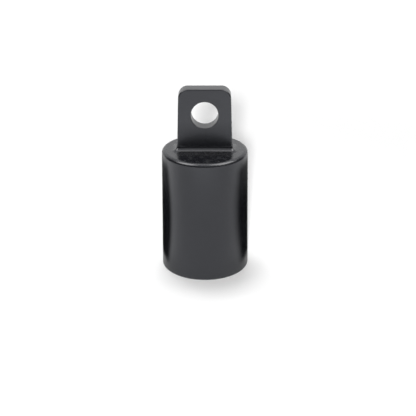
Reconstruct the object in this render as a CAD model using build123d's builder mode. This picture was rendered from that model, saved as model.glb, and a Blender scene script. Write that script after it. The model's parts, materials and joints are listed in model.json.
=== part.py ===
"""End cap for a round dowel: a moulded cup that slips over the dowel's end, with a pierced tab on top.

The cap is one solid. It stands on its mouth, with the origin at the middle of the mouth's plane
and +Z up the socket. The tab is broad along X, and its eye runs along Y.
"""

import os

from build123d import *

# What the cap fits
dowel_diameter = 19.05
dowel_clearance = 0.225
hook_diameter = 6.5
hook_clearance = 0.35

# Cup
socket_depth = 31.0
end_wall = 2.6
mouth_wall = 2.15

# Tab, measured at its root on the closed end
tab_height = 17.0
tab_width = 14.7
tab_thickness = 4.1
eye_height = 10.0

# Draft angles, in degrees, by which the outside narrows away from the mouth
barrel_draft = 0.68
tab_side_draft = 1.7
tab_face_draft = 0.3

# Rounded edges and corners
socket_end_radius = 0.8
shoulder_radius = 1.0
tab_corner_radius = 2.4
tab_edge_radius = 0.3
tab_root_radius = 1.6

# Broken edges
mouth_edge_chamfer = 0.2
eye_edge_chamfer = 0.15

# Sizes that follow from the ones above
socket_radius = dowel_diameter / 2 + dowel_clearance
mouth_radius = socket_radius + mouth_wall
barrel_height = socket_depth + end_wall
eye_radius = hook_diameter / 2 + hook_clearance

mouth_plane = Plane.XY
closed_end_plane = Plane.XY.offset(barrel_height)
eye_centre = Location((0, 0, barrel_height + eye_height), (90, 0, 0))


with BuildPart() as end_cap:
    # Barrel: a round stub, drafted from the mouth up
    with BuildSketch(mouth_plane):
        Circle(mouth_radius)
    extrude(amount=barrel_height)
    barrel_side = end_cap.faces().filter_by(GeomType.CYLINDER)
    draft(barrel_side, neutral_plane=mouth_plane, angle=barrel_draft)

    # Tab: a plate on the closed end, drafted from its root up, with its two free corners rounded
    with BuildSketch(closed_end_plane):
        Rectangle(tab_width, tab_thickness)
    extrude(amount=tab_height)
    draft(end_cap.faces().filter_by(Axis.X), neutral_plane=closed_end_plane, angle=tab_side_draft)
    draft(end_cap.faces().filter_by(Axis.Y), neutral_plane=closed_end_plane, angle=tab_face_draft)
    free_corners = end_cap.edges().filter_by(Axis.Y).group_by(Axis.Z)[-1]
    fillet(free_corners, radius=tab_corner_radius)

    # Soft edge along the sides and tip of the tab's front and back
    flat_faces = end_cap.faces().filter_by(GeomType.PLANE).sort_by(Axis.Y)
    for broad_face in (flat_faces[0], flat_faces[-1]):
        all_but_root = broad_face.edges().sort_by(Axis.Z)[1:]
        fillet(all_but_root, radius=tab_edge_radius)

    # Fillet that carries the tab into the closed end, all the way round its foot
    closed_end = end_cap.faces().filter_by(Axis.Z).sort_by(Axis.Z)[-2]
    fillet(closed_end.inner_wires()[0].edges(), radius=tab_root_radius)

    # Eye: straight through the tab, with both its edges broken
    with Locations(eye_centre):
        Hole(eye_radius)
    eye_edges = end_cap.edges(Select.LAST).filter_by(GeomType.LINE, reverse=True)
    chamfer(eye_edges, length=eye_edge_chamfer)

    # Socket: a straight blind bore, open at the mouth
    with BuildSketch(mouth_plane):
        Circle(socket_radius)
    extrude(amount=socket_depth, mode=Mode.SUBTRACT)

    # Mouth, socket end and shoulder, from the lowest rings to the highest
    rings = end_cap.edges().filter_by(GeomType.CIRCLE).group_by(Axis.Z)
    chamfer(rings[0], length=mouth_edge_chamfer)
    fillet(rings[1], radius=socket_end_radius)
    fillet(rings[2], radius=shoulder_radius)

end_cap.part.label = "end_cap"

os.makedirs("parts", exist_ok=True)
export_step(end_cap.part, "parts/end_cap.step")
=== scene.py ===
"""Looks of a moulded dowel end cap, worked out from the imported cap's own sizes.

The cap is modelled as one body: a drafted barrel with a blind socket, and a tab with an eye that
grows out of the closed end. It wears one finish, black moulded plastic, and stands in a plain white
studio, seen from the photograph's viewing angle.
"""

import json
import logging
import math
from collections.abc import Callable, Iterator
from contextlib import contextmanager
from dataclasses import dataclass, field
from enum import Enum
from typing import Any

import bmesh
import bpy
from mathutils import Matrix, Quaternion, Vector


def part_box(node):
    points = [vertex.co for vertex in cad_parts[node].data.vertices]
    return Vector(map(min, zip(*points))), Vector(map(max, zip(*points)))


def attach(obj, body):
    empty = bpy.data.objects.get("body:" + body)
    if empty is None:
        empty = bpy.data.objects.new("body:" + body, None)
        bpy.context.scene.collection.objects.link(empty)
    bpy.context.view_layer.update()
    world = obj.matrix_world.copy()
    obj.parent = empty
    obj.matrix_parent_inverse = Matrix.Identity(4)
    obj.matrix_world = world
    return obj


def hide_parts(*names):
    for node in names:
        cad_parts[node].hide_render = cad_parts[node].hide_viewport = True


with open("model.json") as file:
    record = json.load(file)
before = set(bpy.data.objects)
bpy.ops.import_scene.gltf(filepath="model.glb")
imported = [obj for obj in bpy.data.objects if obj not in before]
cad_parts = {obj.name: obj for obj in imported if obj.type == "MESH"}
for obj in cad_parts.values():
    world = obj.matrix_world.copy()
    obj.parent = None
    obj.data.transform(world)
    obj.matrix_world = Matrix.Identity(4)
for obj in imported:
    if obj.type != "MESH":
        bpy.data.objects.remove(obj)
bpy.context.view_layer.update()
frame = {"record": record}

log = logging.getLogger("end_cap")

Test = Callable[[Any], bool]
Socket = bpy.types.NodeSocket
Colour = tuple[float, float, float, float]
Span = tuple[float, float]

MM = 0.001
NODE = "end_cap"
WHITE: Colour = (1.0, 1.0, 1.0, 1.0)
WARM = (1.0, 0.97, 0.92)
NOISE_MIDDLE = 0.5

# How close a corner is to the place that it counts as on, and two corners that are merged
NEAR = 0.02 * MM
MERGE = 0.001 * MM

# How much of a face's normal points along an axis where the face counts as square to it
SQUARE = 0.99
NEARLY_SQUARE = 0.9


class Pick(Enum):
    """Which sort of mesh element a selection takes."""

    VERTICES = "VERT"
    EDGES = "EDGE"
    FACES = "FACE"


class Joining(Enum):
    """How one solid acts on another."""

    ADD = "UNION"
    CUT = "DIFFERENCE"


class Reach(Enum):
    """Which surfaces a lamp acts on."""

    GLOSS = "gloss"
    MATT = "matt"
    MATT_FLOOR = "matt, the floor alone"
    MATT_OBJECT = "matt, all but the floor"


LINK_STATES = {Reach.MATT_FLOOR: "INCLUDE", Reach.MATT_OBJECT: "EXCLUDE"}


class Signal:
    """One shader value that takes part in Python arithmetic."""

    def __init__(self, sheet: "Sheet", socket: Socket) -> None:
        """Keep the output socket and the sheet that it is on."""
        self.sheet = sheet
        self.socket = socket

    def _math(self, operation: str, first: Any, second: Any) -> "Signal":
        """Add one Math node and return its result."""
        node = self.sheet.add("ShaderNodeMath", {"operation": operation}, {0: first, 1: second})
        return Signal(self.sheet, node.outputs[0])

    def __add__(self, other: Any) -> "Signal":
        """Return self + other."""
        return self._math("ADD", self, other)

    def __radd__(self, other: Any) -> "Signal":
        """Return other + self."""
        return self._math("ADD", other, self)

    def __sub__(self, other: Any) -> "Signal":
        """Return self - other."""
        return self._math("SUBTRACT", self, other)

    def __rsub__(self, other: Any) -> "Signal":
        """Return other - self."""
        return self._math("SUBTRACT", other, self)

    def __mul__(self, other: Any) -> "Signal":
        """Return self * other."""
        return self._math("MULTIPLY", self, other)

    def __rmul__(self, other: Any) -> "Signal":
        """Return other * self."""
        return self._math("MULTIPLY", other, self)

    def turn_from(self, along: Any) -> "Signal":
        """Return the angle, in radians, whose tangent is self over along."""
        return self._math("ARCTAN2", self, along)

    def ramp(self, start: float, end: float) -> "Signal":
        """Rise smoothly from 0 to 1 as this value goes from one value to another.

        Args:
            start: The value at which the result leaves 0.
            end: The value at which it reaches 1.

        Returns:
            The result.
        """
        settings = {"interpolation_type": "SMOOTHSTEP"}
        inputs = {"Value": self, "From Min": start, "From Max": end}
        return self.sheet.signal("ShaderNodeMapRange", settings, inputs)

    def ramp_both_ways(self, start: float, end: float) -> "Signal":
        """Rise smoothly from 0 to 1 on either side of 0.

        Args:
            start: How far from 0 the result leaves 0.
            end: How far from 0 it reaches 1.

        Returns:
            The result.
        """
        return self.ramp(start, end) + (0 - self).ramp(start, end)


class Sheet:
    """The node sheet of a material or a world, filled one node at a time."""

    def __init__(self, owner: bpy.types.Material | bpy.types.World) -> None:
        """Switch the owner's nodes on and clear them.

        Args:
            owner: The material or the world.
        """
        owner.use_nodes = True
        self.tree = owner.node_tree
        self.tree.nodes.clear()

    def add(self, kind: str, settings: dict[str, Any] | None = None,
            inputs: dict[int | str, Any] | None = None) -> bpy.types.Node:
        """Add a node.

        Args:
            kind: The node's type name.
            settings: Properties of the node, which are set first.
            inputs: For each input socket, a plain value, a Signal or an output socket.

        Returns:
            The new node.
        """
        node = self.tree.nodes.new(kind)
        for name, value in (settings or {}).items():
            setattr(node, name, value)
        for name, value in (inputs or {}).items():
            source = value.socket if isinstance(value, Signal) else value
            if isinstance(source, Socket):
                self.tree.links.new(source, node.inputs[name])
            else:
                node.inputs[name].default_value = source
        return node

    def signal(self, kind: str, settings: dict[str, Any] | None = None,
               inputs: dict[int | str, Any] | None = None, output: int | str = 0) -> Signal:
        """Add a node and return one of its outputs as a Signal.

        Args:
            kind: The node's type name.
            settings: Properties of the node, which are set first.
            inputs: Values or links of its sockets.
            output: The output wanted, by number or name.

        Returns:
            That output.
        """
        return Signal(self, self.add(kind, settings, inputs).outputs[output])

    def place(self, kind: str = "Object") -> Signal:
        """Return where the shaded point is, in one kind of coordinates."""
        return self.signal("ShaderNodeTexCoord", output=kind)

    def axes(self, place: Signal) -> tuple[Signal, ...]:
        """Return the X, Y and Z of a place."""
        node = self.add("ShaderNodeSeparateXYZ", {}, {0: place})
        return tuple(Signal(self, output) for output in node.outputs)

    def length(self, place: Signal) -> Signal:
        """Return how far a place is from the origin."""
        return self.signal("ShaderNodeVectorMath", {"operation": "LENGTH"}, {0: place}, "Value")

    def ray(self, kind: str) -> Signal:
        """Return 1 for rays of one kind, such as Glossy, and 0 for all others."""
        return self.signal("ShaderNodeLightPath", output=f"Is {kind} Ray")

    def blend(self, share: Signal, first: Any, second: Any) -> Socket:
        """Mix two colours.

        Args:
            share: How much there is of the second colour, from 0 to 1.
            first: The colour at share 0, or its socket.
            second: The colour at share 1, or its socket.

        Returns:
            The mixed colour's socket.
        """
        # Inputs 6 and 7 and output 2 are the Mix node's colours
        node = self.add("ShaderNodeMix", {"data_type": "RGBA"}, {0: share, 6: first, 7: second})
        return node.outputs[2]

    def glow(self, strength: Any, colour: Any = WHITE) -> Socket:
        """Add a glow of a strength and a colour, and return its shader."""
        return self.add("ShaderNodeEmission", {}, {"Color": colour, "Strength": strength}).outputs[0]

    def mix(self, share: Signal, first: Socket, second: Socket) -> Socket:
        """Mix two shaders.

        Args:
            share: How much there is of the second shader, from 0 to 1.
            first: The shader at share 0.
            second: The shader at share 1.

        Returns:
            The mixed shader.
        """
        return self.add("ShaderNodeMixShader", {}, {0: share, 1: first, 2: second}).outputs[0]

    def finish(self, shader: Socket) -> None:
        """Put a shader on the surface."""
        self.add("ShaderNodeOutputMaterial", {}, {"Surface": shader})


@dataclass(frozen=True)
class Grain:
    """A noise over the surface: the length of its pattern, its detail and its height as relief."""

    length: float
    detail: float
    height: float = 0.0

    def spread(self, sheet: Sheet, place: Signal) -> Signal:
        """Lay the noise over a sheet's places, with values between 0 and 1."""
        inputs = {"Vector": place, "Scale": 1 / self.length, "Detail": self.detail}
        return sheet.signal("ShaderNodeTexNoise", {"noise_dimensions": "3D"}, inputs)


@dataclass(frozen=True)
class MouldedPlastic:
    """Black plastic as it leaves a polished mould: satin gloss, with slow waves and a fine skin.

    The closed end is scuffed from handling, and the tab's faces are slightly sunk above its foot.
    """

    name: str = "black_moulded_plastic"
    black: Colour = (0.0078, 0.0084, 0.0110, 1.0)
    greyed: Colour = (0.0102, 0.0108, 0.0136, 1.0)
    scuffed: Colour = (0.034, 0.035, 0.038, 1.0)
    sheen: Colour = (0.96, 0.98, 1.05, 1.0)
    ior: float = 1.55
    roughness: float = 0.24
    cloudiness: float = 0.14
    cloud: Grain = Grain(10.0 * MM, 3.0)
    peel: Grain = Grain(1.1 * MM, 2.0, 0.0016 * MM)
    waves: Grain = Grain(5.0 * MM, 1.0, 0.012 * MM)
    mottle: Grain = Grain(1.6 * MM, 3.0, 0.02 * MM)
    scuff_range: Span = (0.42, 0.80)
    scuff_roughness: float = 0.12
    end_start: Span = (33.2 * MM, 33.5 * MM)
    end_stop: Span = (33.65 * MM, 33.95 * MM)
    sink_span: Span = (34.7 * MM, 42.6 * MM)
    sink_depth: float = 0.40 * MM

    def material(self) -> bpy.types.Material:
        """Build the material.

        Returns:
            The finished material.
        """
        material = bpy.data.materials.new(self.name)
        sheet = Sheet(material)
        place = sheet.place()
        cloud = self.cloud.spread(sheet, place)
        peel = self.peel.spread(sheet, place)
        waves = self.waves.spread(sheet, place)
        mottle = self.mottle.spread(sheet, place)
        level = sheet.axes(place)[2]
        on_end = level.ramp(*self.end_start) * (1 - level.ramp(*self.end_stop))
        scuff = mottle.ramp(*self.scuff_range) * on_end
        plain = sheet.blend(cloud, self.black, self.greyed)
        colour = sheet.blend(scuff, plain, self.scuffed)
        roughness = self.roughness + (cloud - NOISE_MIDDLE) * self.cloudiness
        roughness = roughness + scuff * self.scuff_roughness
        height = waves * self.waves.height + peel * self.peel.height
        height = height + level.ramp(*self.sink_span) * self.sink_depth
        height = height + mottle * on_end * self.mottle.height
        normal = sheet.add("ShaderNodeBump", {}, {"Strength": 1.0, "Distance": 1.0, "Height": height})
        shader = sheet.add("ShaderNodeBsdfPrincipled", {}, {
            "Base Color": colour,
            "Roughness": roughness,
            "IOR": self.ior,
            "Specular Tint": self.sheen,
            "Normal": normal.outputs[0],
        })
        sheet.finish(shader.outputs[0])
        return material


@dataclass(frozen=True)
class Rounding:
    """A rounded edge: its radius, in metres, and the facets across it."""

    radius: float
    facets: int


class Workpiece:
    """A mesh on the bench, shaped through the parts that a test picks out."""

    def __init__(self, name: str) -> None:
        """Take up the primitive that was just added, with its place put into its mesh.

        Args:
            name: The piece's name.
        """
        bpy.ops.object.transform_apply(location=True, rotation=True, scale=True)
        self.obj = bpy.context.active_object
        self.rename(name)

    def rename(self, name: str) -> None:
        """Name the object and its mesh."""
        self.obj.name = name
        self.obj.data.name = name

    @contextmanager
    def editing(self) -> Iterator[None]:
        """Hold this piece alone in edit mode.

        Yields:
            Nothing, once, with the piece in edit mode.
        """
        clear_bench()
        self.obj.select_set(True)
        bpy.context.view_layer.objects.active = self.obj
        bpy.ops.object.mode_set(mode="EDIT")
        yield
        bpy.ops.object.mode_set(mode="OBJECT")

    def pick(self, kind: Pick, test: Test) -> int:
        """Select the elements that pass a test, and nothing else.

        Args:
            kind: The sort of element that the test is given.
            test: Called with each element. True selects it.

        Returns:
            How many were selected.
        """
        bpy.ops.mesh.select_mode(type=kind.value)
        bpy.ops.mesh.select_all(action="DESELECT")
        shape = bmesh.from_edit_mesh(self.obj.data)
        elements = {Pick.VERTICES: shape.verts, Pick.EDGES: shape.edges, Pick.FACES: shape.faces}[kind]
        found = [element for element in elements if test(element)]
        for element in found:
            element.select_set(True)
        shape.select_flush_mode()
        bmesh.update_edit_mesh(self.obj.data)
        return len(found)

    def round_edges(self, test: Test, rounding: Rounding) -> None:
        """Round the edges that pass a test.

        Args:
            test: Called with each edge. True rounds it.
            rounding: The rounding that they get.
        """
        count = self.pick(Pick.EDGES, test)
        bpy.ops.mesh.bevel(offset=rounding.radius, offset_type="OFFSET", segments=rounding.facets,
                           profile=0.5, affect="EDGES", clamp_overlap=False, loop_slide=False)
        log.info("%s: %d edges rounded at %.2f mm", self.obj.name, count, rounding.radius / MM)

    def combine(self, other: "Workpiece", how: Joining) -> None:
        """Add another piece to this one or cut it out, and use the other one up.

        Args:
            other: The piece that is added or cut out.
            how: Whether it is added or cut out.
        """
        clear_bench()
        bpy.context.view_layer.objects.active = self.obj
        modifier = self.obj.modifiers.new(how.name.lower(), "BOOLEAN")
        modifier.object = other.obj
        modifier.operation = how.value
        modifier.solver = "EXACT"
        bpy.ops.object.modifier_apply(modifier=modifier.name)
        bpy.data.objects.remove(other.obj)

    def smooth(self) -> None:
        """Shade the piece smooth, with flat faces kept flat by weighted normals."""
        with self.editing():
            bpy.ops.mesh.select_all(action="SELECT")
            bpy.ops.mesh.remove_doubles(threshold=MERGE)
            bpy.ops.mesh.normals_make_consistent(inside=False)
        self.obj.select_set(True)
        bpy.ops.object.shade_smooth()
        modifier = self.obj.modifiers.new("weighted_normals", "WEIGHTED_NORMAL")
        modifier.keep_sharp = True
        bpy.ops.object.modifier_apply(modifier=modifier.name)


def show_in_gloss_only(obj: bpy.types.Object) -> None:
    """Hide an object from all but glossy rays.

    Args:
        obj: The object.
    """
    obj.visible_camera = False
    obj.visible_diffuse = False
    obj.visible_shadow = False
    obj.visible_transmission = False


def clear_bench() -> None:
    """Deselect every object."""
    bpy.ops.object.select_all(action="DESELECT")


def faces_up(face: Any) -> bool:
    """Tell whether a face looks straight up."""
    return face.normal.z > SQUARE


def faces_down(face: Any) -> bool:
    """Tell whether a face looks straight down."""
    return face.normal.z < -SQUARE


def lean(height: float, draft: float) -> float:
    """Find how far a drafted wall leans in over a height."""
    return height * math.tan(draft)


def ring(radius: float, height: float) -> Test:
    """Make a test for the edges of a level ring round the cap's axis.

    Args:
        radius: Radius of the ring, in metres.
        height: Height of the ring, in metres.

    Returns:
        The test.
    """
    def is_on_ring(vertex: Any) -> bool:
        """Tell whether a vertex is on the ring."""
        off_radius = abs(math.hypot(vertex.co.x, vertex.co.y) - radius)
        return off_radius < NEAR and abs(vertex.co.z - height) < NEAR

    def joins_ring(edge: Any) -> bool:
        """Tell whether both ends of an edge are on the ring."""
        return all(is_on_ring(vertex) for vertex in edge.verts)

    return joins_ring


@dataclass
class Barrel:
    """The cup: a round barrel that narrows away from its mouth, with a blind socket up its middle."""

    mouth_radius: float
    closed_end_radius: float
    height: float
    socket_radius: float
    socket_depth: float
    mouth_edge: Rounding = Rounding(0.2 * MM, 3)
    socket_end: Rounding = Rounding(0.8 * MM, 6)
    shoulder: Rounding = Rounding(1.0 * MM, 8)
    sides: int = 144

    def build(self) -> Workpiece:
        """Model the cup, with its mouth at height zero.

        Returns:
            The cup.
        """
        clear_bench()
        bpy.ops.mesh.primitive_cylinder_add(vertices=self.sides, radius=self.mouth_radius,
                                            depth=self.height, location=(0, 0, self.height / 2))
        cup = Workpiece("cup")
        narrowing = self.closed_end_radius / self.mouth_radius
        with cup.editing():
            cup.pick(Pick.FACES, faces_up)
            bpy.ops.transform.resize(value=(narrowing, narrowing, 1), center_override=(0, 0, self.height))
            cup.pick(Pick.FACES, faces_down)
            bpy.ops.mesh.inset(thickness=self.mouth_radius - self.socket_radius)
            bpy.ops.mesh.extrude_region_move(TRANSFORM_OT_translate={"value": (0, 0, self.socket_depth)})
            cup.round_edges(ring(self.mouth_radius, 0), self.mouth_edge)
            cup.round_edges(ring(self.socket_radius, 0), self.mouth_edge)
            cup.round_edges(ring(self.socket_radius, self.socket_depth), self.socket_end)
            cup.round_edges(ring(self.closed_end_radius, self.height), self.shoulder)
        return cup


@dataclass
class Tab:
    """The flat tab: narrower towards its tip, with rounded free corners and an eye through it."""

    foot_height: float
    height: float
    root_width: float
    tip_width: float
    root_thickness: float
    tip_thickness: float
    eye_height: float
    eye_radius: float
    corner: Rounding = Rounding(2.4 * MM, 16)
    edge: Rounding = Rounding(0.3 * MM, 4)
    eye_edge: Rounding = Rounding(0.15 * MM, 3)
    sunk: float = 0.8 * MM
    eye_sides: int = 96

    def size_at(self, height: float) -> tuple[float, float]:
        """Find the tab's width and thickness at a height above its foot.

        Args:
            height: Height above the foot, in metres.

        Returns:
            The width and the thickness there.
        """
        share = height / self.height
        width = self.root_width + (self.tip_width - self.root_width) * share
        thickness = self.root_thickness + (self.tip_thickness - self.root_thickness) * share
        return width, thickness

    def build(self) -> Workpiece:
        """Model the tab, with its foot sunk a little into the closed end.

        Returns:
            The tab.
        """
        clear_bench()
        width, thickness = self.size_at(-self.sunk)
        length = self.height + self.sunk
        top = self.foot_height + self.height
        bpy.ops.mesh.primitive_cube_add(size=1, scale=(width, thickness, length),
                                        location=(0, 0, top - length / 2))
        tab = Workpiece("tab")
        with tab.editing():
            tab.pick(Pick.FACES, faces_up)
            narrowing = (self.tip_width / width, self.tip_thickness / thickness, 1)
            bpy.ops.transform.resize(value=narrowing, center_override=(0, 0, top))
            tab.round_edges(self.is_free_corner, self.corner)
            tab.round_edges(self.is_outline, self.edge)
        tab.combine(self.eye_cutter(), Joining.CUT)
        with tab.editing():
            tab.round_edges(self.is_eye_edge, self.eye_edge)
        return tab

    def eye_cutter(self) -> Workpiece:
        """Make the round bar that cuts the eye.

        Returns:
            The bar, which is longer than the tab is thick.
        """
        clear_bench()
        length = 3 * self.root_thickness
        bpy.ops.mesh.primitive_cylinder_add(vertices=self.eye_sides, radius=self.eye_radius, depth=length,
                                            location=(0, 0, self.eye_height),
                                            rotation=(math.radians(90), 0, 0))
        return Workpiece("eye_cutter")

    def is_free_corner(self, edge: Any) -> bool:
        """Tell whether an edge crosses the tab's thickness at one of its free corners.

        Args:
            edge: An edge of the tab.

        Returns:
            Whether it does.
        """
        first, last = (vertex.co for vertex in edge.verts)
        top = self.foot_height + self.height - NEAR
        return min(first.z, last.z) > top and abs(first.x - last.x) < NEAR

    def is_outline(self, edge: Any) -> bool:
        """Tell whether an edge bounds a broad face at the tab's side, corner or tip.

        Args:
            edge: An edge of the tab.

        Returns:
            Whether it does.
        """
        broad = [abs(face.normal.y) > NEARLY_SQUARE for face in edge.link_faces]
        at_foot = all(vertex.co.z < self.foot_height for vertex in edge.verts)
        return any(broad) and not all(broad) and not at_foot

    def is_eye_edge(self, edge: Any) -> bool:
        """Tell whether an edge is on the rim of the eye.

        Args:
            edge: An edge of the tab.

        Returns:
            Whether it is.
        """
        first, last = (vertex.co for vertex in edge.verts)
        off = [abs(math.hypot(end.x, end.z - self.eye_height) - self.eye_radius) for end in (first, last)]
        return max(off) < NEAR and abs(first.y - last.y) < NEAR


@dataclass(frozen=True)
class Moulding:
    """The sizes and the drafts, in radians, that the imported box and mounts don't give."""

    tab_height: float = 17.0 * MM
    tab_width: float = 14.7 * MM
    tab_thickness: float = 4.1 * MM
    end_wall: float = 2.6 * MM
    barrel_draft: float = math.radians(0.68)
    tab_side_draft: float = math.radians(1.7)
    tab_face_draft: float = math.radians(0.3)


@dataclass
class EndCap:
    """The whole cap: its cup and its tab, joined by a fillet round the tab's foot."""

    barrel: Barrel
    tab: Tab
    finish: MouldedPlastic = field(default_factory=MouldedPlastic)
    root: Rounding = Rounding(1.6 * MM, 8)

    @classmethod
    def from_frame(cls, record: dict[str, Any], moulding: Moulding) -> "EndCap":
        """Take the cap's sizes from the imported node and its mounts.

        Args:
            record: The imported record.
            moulding: The sizes that they don't give.

        Returns:
            The cap, ready to build.
        """
        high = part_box(NODE)[1]
        mounts = {mount["name"]: mount for mount in record["mounts"]}
        socket, eye = mounts["socket"], mounts["eye"]
        height = high.z - moulding.tab_height
        barrel = Barrel(
            mouth_radius=high.x,
            closed_end_radius=high.x - lean(height, moulding.barrel_draft),
            height=height,
            socket_radius=socket["dims"]["r_mm"] * MM,
            socket_depth=height - moulding.end_wall,
        )
        tab = Tab(
            foot_height=height,
            height=moulding.tab_height,
            root_width=moulding.tab_width,
            tip_width=moulding.tab_width - 2 * lean(moulding.tab_height, moulding.tab_side_draft),
            root_thickness=moulding.tab_thickness,
            tip_thickness=moulding.tab_thickness - 2 * lean(moulding.tab_height, moulding.tab_face_draft),
            eye_height=eye["pos_m"][2],
            eye_radius=eye["dims"]["r_mm"] * MM,
        )
        return cls(barrel, tab)

    def is_root(self, edge: Any) -> bool:
        """Tell whether an edge is where the tab's walls meet the closed end.

        Args:
            edge: An edge of the joined cap.

        Returns:
            Whether it is.
        """
        is_level = all(abs(vertex.co.z - self.barrel.height) < NEAR for vertex in edge.verts)
        is_middle = max(abs(vertex.co.y) for vertex in edge.verts) < self.tab.root_thickness
        flat = sorted(abs(face.normal.z) > NEARLY_SQUARE for face in edge.link_faces)
        return is_level and is_middle and flat == [False, True]

    def build(self) -> bpy.types.Object:
        """Model the cap, dress it and hang it on the frame.

        Returns:
            The finished object.
        """
        cap = self.barrel.build()
        cap.combine(self.tab.build(), Joining.ADD)
        with cap.editing():
            cap.round_edges(self.is_root, self.root)
        cap.smooth()
        cap.rename("moulded_cap")
        cap.obj.data.materials.clear()
        cap.obj.data.materials.append(self.finish.material())
        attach(cap.obj, "root")
        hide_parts(NODE)
        return cap.obj


def direction(azimuth: float, elevation: float) -> Vector:
    """Find a unit vector that points away from the object.

    Args:
        azimuth: Degrees from the camera's side, positive to the right.
        elevation: Degrees above the floor.

    Returns:
        The vector.
    """
    turn, lift = math.radians(azimuth), math.radians(elevation)
    return Vector((math.sin(turn) * math.cos(lift), -math.cos(turn) * math.cos(lift), math.sin(lift)))


@dataclass(frozen=True)
class Softbox:
    """A square soft lamp, aimed at the object from a direction given in degrees."""

    name: str
    azimuth: float
    elevation: float
    distance: float
    size: float
    brightness: float
    reach: Reach
    tint: tuple[float, float, float] = (1.0, 1.0, 1.0)

    def build(self, floor: bpy.types.Object) -> bpy.types.Object:
        """Hang the lamp.

        Args:
            floor: The floor, which some lamps act on alone and some leave out.

        Returns:
            The lamp, whose face is as bright as its brightness says.
        """
        data = bpy.data.lights.new(self.name, "AREA")
        data.shape = "SQUARE"
        data.size = self.size
        data.energy = self.brightness * math.pi * self.size ** 2
        data.color = self.tint
        lamp = bpy.data.objects.new(self.name, data)
        bpy.context.scene.collection.objects.link(lamp)
        aim = direction(self.azimuth, self.elevation)
        lamp.location = aim * self.distance
        lamp.rotation_euler = (-aim).to_track_quat("-Z", "Y").to_euler()
        self.limit(lamp, floor)
        return lamp

    def limit(self, lamp: bpy.types.Object, floor: bpy.types.Object) -> None:
        """Keep the lamp's light to the surfaces in its reach.

        Args:
            lamp: The lamp.
            floor: The floor, which some lamps act on alone and some leave out.
        """
        lamp.visible_camera = False
        lamp.visible_diffuse = self.reach is not Reach.GLOSS
        lamp.visible_glossy = self.reach is Reach.GLOSS
        if self.reach in LINK_STATES:
            group = bpy.data.collections.new(f"{self.name}_link")
            group.objects.link(floor)
            group.collection_objects[0].light_linking.link_state = LINK_STATES[self.reach]
            lamp.light_linking.receiver_collection = group


@dataclass(frozen=True)
class Card:
    """A card that curves round the object and is seen only in its gloss.

    Azimuths are in degrees from the camera's side, positive to the right.
    """

    name: str
    first_azimuth: float
    last_azimuth: float
    radius: float
    height: float
    brightness: float
    sides: int = 180

    def build(self) -> bpy.types.Object:
        """Cut the card out of a tube and hide it from all but glossy rays.

        Returns:
            The card.
        """
        clear_bench()
        bpy.ops.mesh.primitive_cylinder_add(vertices=self.sides, radius=self.radius, depth=self.height,
                                            end_fill_type="NOTHING", location=(0, 0, self.height / 2))
        card = Workpiece(self.name)
        with card.editing():
            card.pick(Pick.FACES, self.is_outside)
            bpy.ops.mesh.delete(type="FACE")
        card.obj.data.materials.append(self.material())
        show_in_gloss_only(card.obj)
        return card.obj

    def is_outside(self, face: Any) -> bool:
        """Tell whether a face of the tube is outside the card's span.

        Args:
            face: A face of the tube.

        Returns:
            Whether it is.
        """
        centre = face.calc_center_median()
        azimuth = math.degrees(math.atan2(centre.x, -centre.y))
        return not self.first_azimuth <= azimuth <= self.last_azimuth

    def material(self) -> bpy.types.Material:
        """Make the card's even grey.

        Returns:
            The material.
        """
        material = bpy.data.materials.new(self.name)
        sheet = Sheet(material)
        sheet.finish(sheet.glow(self.brightness))
        return material


@dataclass(frozen=True)
class SoftCard(Card):
    """A curved card that fades out at its front and back edges, its foot and its top.

    Its front edge is bowed: it reaches furthest towards the camera at its middle height. Its upper
    part is slightly hazy below the fade at its top.
    """

    front_fade: Span = (-8.2 * MM, -5.2 * MM)
    back_fade: Span = (4.0 * MM, 8.8 * MM)
    foot_fade: Span = (-1.6 * MM, 1.6 * MM)
    haze_fade: Span = (17.0 * MM, 28.0 * MM)
    haze_share: float = 0.085
    top_fade: Span = (27.3 * MM, 31.5 * MM)
    top_share: float = 0.85
    bow: float = 2.4 * MM
    bow_middle: float = 14.0 * MM
    bow_reach: float = 14.0 * MM

    def material(self) -> bpy.types.Material:
        """Make the card's grey, clear where it fades out.

        Returns:
            The material.
        """
        material = bpy.data.materials.new(self.name)
        sheet = Sheet(material)
        _, depth, height = sheet.axes(sheet.place())
        off_middle = (height - self.bow_middle) * (1 / self.bow_reach)
        behind_edge = depth - off_middle * off_middle * self.bow
        density = behind_edge.ramp(*self.front_fade) * (1 - depth.ramp(*self.back_fade))
        density = density * height.ramp(*self.foot_fade)
        density = density * (1 - height.ramp(*self.haze_fade) * self.haze_share)
        density = density * (1 - height.ramp(*self.top_fade) * self.top_share)
        clear = sheet.add("ShaderNodeBsdfTransparent").outputs[0]
        sheet.finish(sheet.mix(density, clear, sheet.glow(self.brightness)))
        return material


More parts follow.
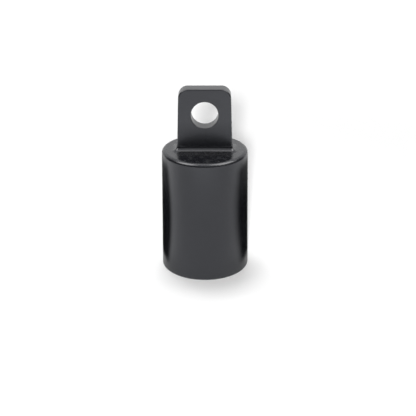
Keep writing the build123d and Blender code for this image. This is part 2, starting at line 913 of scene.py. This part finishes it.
@dataclass
class Studio:
    """A white floor that runs out of sight, an even white surround, soft lamps and cards.

    The levels are the brightness of a painted glow that a gloss sees on the floor in place of the lit
    floor, in front of the object, at its sides, behind it and far in front of it: a painted reflection,
    with painted shade close beside the object's foot. Turns are in radians from the camera's side.
    """

    sky: float = 0.10
    floor_colour: float = 0.96
    floor_level: float = -0.02 * MM
    floor_size: float = 12.0
    # How much of the floor a gloss sees as the painted glow instead of the lit floor
    gloss_glow_share: float = 0.85
    far_span: Span = (110.0 * MM, 500.0 * MM)
    # Levels of the painted floor glow that a gloss sees, by direction: a painted reflection
    near_level: float = 1.12
    left_level: float = 1.53
    right_level: float = 1.42
    side_turn: Span = (math.radians(50.0), math.radians(105.0))
    back_level: float = 0.8
    back_turn: Span = (math.radians(130.0), math.radians(160.0))
    far_level: float = 1.8
    far_edge: Span = (-95.0 * MM, -80.0 * MM)
    # Painted shade in that glow, close beside the object's foot and towards its sides
    foot_shade_span: Span = (12.0 * MM, 26.0 * MM)
    foot_shade_turn: Span = (math.radians(30.0), math.radians(85.0))
    foot_shade_share: float = 0.62
    horizon_dimming: float = 0.15
    horizon_lift: Span = (0.0, 0.28)
    horizon_aside: Span = (0.07, 0.20)
    lamps: tuple[Softbox, ...] = (
        Softbox("key_softbox", azimuth=-165.0, elevation=77.5, distance=0.8, size=0.24,
                brightness=18.2, reach=Reach.MATT),
        Softbox("fill_softbox", azimuth=0.0, elevation=58.0, distance=0.65, size=0.55,
                brightness=1.55, reach=Reach.MATT_OBJECT),
        Softbox("floor_flash", azimuth=-2.2, elevation=20.5, distance=2.5, size=0.142,
                brightness=1360.0, reach=Reach.MATT_FLOOR),
        Softbox("top_softbox", azimuth=0.0, elevation=86.0, distance=0.60, size=0.36,
                brightness=1.45, reach=Reach.GLOSS, tint=WARM),
        Softbox("left_strip", azimuth=-66.0, elevation=52.0, distance=0.6, size=0.36,
                brightness=6.0, reach=Reach.GLOSS, tint=WARM),
        Softbox("right_strip", azimuth=70.0, elevation=52.0, distance=0.6, size=0.45,
                brightness=6.0, reach=Reach.GLOSS, tint=WARM),
    )
    # Dim glowing cards seen only in gloss paint dark reflections into the cap: the horizon card under the
    # rim and on the tab, the two small cards down the barrel's sides
    cards: tuple[Card, ...] = (
        Card("dark_horizon_card", first_azimuth=-120.0, last_azimuth=120.0, radius=250.0 * MM,
             height=195.0 * MM, brightness=0.1),
        SoftCard("left_dark_card", first_azimuth=-126.0, last_azimuth=-40.0, radius=15.0 * MM,
                 height=34.0 * MM, brightness=0.012),
        SoftCard("right_dark_card", first_azimuth=35.0, last_azimuth=126.0, radius=15.0 * MM,
                 height=34.0 * MM, brightness=0.012,
                 front_fade=(-11.0 * MM, -5.2 * MM), bow_middle=17.0 * MM),
    )

    def build(self) -> list[bpy.types.Object]:
        """Lay the floor, light the surround, hang the lamps and stand the cards.

        Returns:
            The floor, the lamps and the cards.
        """
        clear_bench()
        bpy.ops.mesh.primitive_plane_add(size=self.floor_size, location=(0, 0, self.floor_level))
        floor = bpy.context.active_object
        floor.name = "studio_floor"
        floor.data.materials.append(self.floor_material())
        self.surround()
        lamps = [lamp.build(floor) for lamp in self.lamps]
        cards = [card.build() for card in self.cards]
        return [floor, *lamps, *cards]

    @staticmethod
    def seen(sheet: Sheet) -> Signal:
        """Make a switch that is 1 for what the camera, a gloss or a clear surface sees.

        Args:
            sheet: The sheet that the switch is put on.

        Returns:
            The switch.
        """
        rays = sheet.ray("Camera") + sheet.ray("Glossy") + sheet.ray("Transmission")
        return sheet.signal("ShaderNodeClamp", {}, {"Value": rays})

    def level_in_gloss(self, sheet: Sheet, place: Signal) -> Signal:
        """Work out the painted glow that a gloss sees at each place on the floor, in place of the lit
        floor.

        Args:
            sheet: The floor's sheet.
            place: The place on the floor.

        Returns:
            The level, with painted shade close beside the object.
        """
        across, depth, _ = sheet.axes(place)
        turn = across.turn_from(0 - depth)
        level = self.near_level
        for side_turn, side_level in ((turn, self.right_level), (0 - turn, self.left_level)):
            level = level + side_turn.ramp(*self.side_turn) * (side_level - self.near_level)
            level = level + side_turn.ramp(*self.back_turn) * (self.back_level - side_level)
        level = level + (1 - depth.ramp(*self.far_edge)) * (self.far_level - self.near_level)
        # Painted shade close beside the foot, towards the sides
        close = 1 - sheet.length(place).ramp(*self.foot_shade_span)
        return level * (1 - close * turn.ramp_both_ways(*self.foot_shade_turn) * self.foot_shade_share)

    def floor_material(self) -> bpy.types.Material:
        """Make the floor's white, which takes the object's shadow and turns plain white far away.

        Returns:
            The material, which a gloss sees mostly as the painted glow, with painted shade beside the
            object's foot and a fainter shadow than the camera does.
        """
        material = bpy.data.materials.new("white_floor")
        sheet = Sheet(material)
        place = sheet.place()
        paper = sheet.add("ShaderNodeBsdfDiffuse", {}, {"Color": (self.floor_colour,) * 3 + (1,)})
        lift = sheet.glow(self.seen(sheet) * sheet.length(place).ramp(*self.far_span))
        lit = sheet.add("ShaderNodeAddShader", {}, {0: paper.outputs[0], 1: lift})
        # Painted reflection: a glow at the level above, which a gloss sees in place of the lit floor
        even = sheet.glow(1.0, self.level_in_gloss(sheet, place))
        share = sheet.ray("Glossy") * self.gloss_glow_share
        sheet.finish(sheet.mix(share, lit.outputs[0], even))
        return material

    def surround(self) -> None:
        """Make the world white where it is seen, and dim as a lamp.

        A gloss sees it a little dimmer near the horizon, to the left and to the right.
        """
        world = bpy.data.worlds.new("studio_surround")
        bpy.context.scene.world = world
        sheet = Sheet(world)
        across, _, lift = sheet.axes(sheet.place("Generated"))
        low = (1 - lift.ramp(*self.horizon_lift)) * across.ramp_both_ways(*self.horizon_aside)
        dimming = sheet.ray("Glossy") * low * self.horizon_dimming
        strength = self.sky + self.seen(sheet) * (1 - self.sky) - dimming
        white = sheet.add("ShaderNodeBackground", {}, {"Color": WHITE, "Strength": strength})
        sheet.add("ShaderNodeOutputWorld", {}, {"Surface": white.outputs[0]})


@dataclass(frozen=True)
class PhotoCamera:
    """The camera at the photograph's angle, solved from the edges of the cap in it."""

    aim_aside: float = 0.81 * MM
    aim_height: float = 16.06 * MM
    distance: float = 270.8 * MM
    azimuth: float = 0.5
    elevation: float = 24.69
    roll: float = -0.14
    focal_pixels: float = 985.0
    image_pixels: float = 416.0
    sensor_width: float = 36.0
    clip_start: float = 10.0 * MM

    def build(self) -> bpy.types.Object:
        """Set up the camera and make it the scene's own.

        Returns:
            The camera object.
        """
        back = direction(self.azimuth, self.elevation)
        data = bpy.data.cameras.new("photo_camera")
        data.sensor_width = self.sensor_width
        data.lens = self.focal_pixels * data.sensor_width / self.image_pixels
        data.clip_start = self.clip_start
        camera = bpy.data.objects.new("photo_camera", data)
        bpy.context.scene.collection.objects.link(camera)
        aside = direction(self.azimuth + 90, 0)
        aim = aside * self.aim_aside + Vector((0, 0, self.aim_height))
        camera.location = aim + back * self.distance
        camera.rotation_mode = "QUATERNION"
        tilt = Quaternion((0, 0, 1), math.radians(self.roll))
        camera.rotation_quaternion = (-back).to_track_quat("-Z", "Y") @ tilt
        bpy.context.scene.camera = camera
        return camera


def report(piece: bpy.types.Object) -> None:
    """Log a piece's name and kind, and how many faces it has if it is a mesh."""
    faces = f", {len(piece.data.polygons)} faces" if piece.type == "MESH" else ""
    log.info("%s: %s%s", piece.name, piece.type.lower(), faces)


def main() -> None:
    """Build the camera, the studio and the cap, and report each piece."""
    logging.basicConfig(level=logging.INFO, format="%(name)s: %(message)s")
    camera = PhotoCamera().build()
    stage = Studio().build()
    cap = EndCap.from_frame(frame["record"], Moulding()).build()
    for piece in (camera, *stage, cap):
        report(piece)
    bpy.context.scene.view_settings.view_transform = "Standard"


if __name__ == "__main__":
    main()
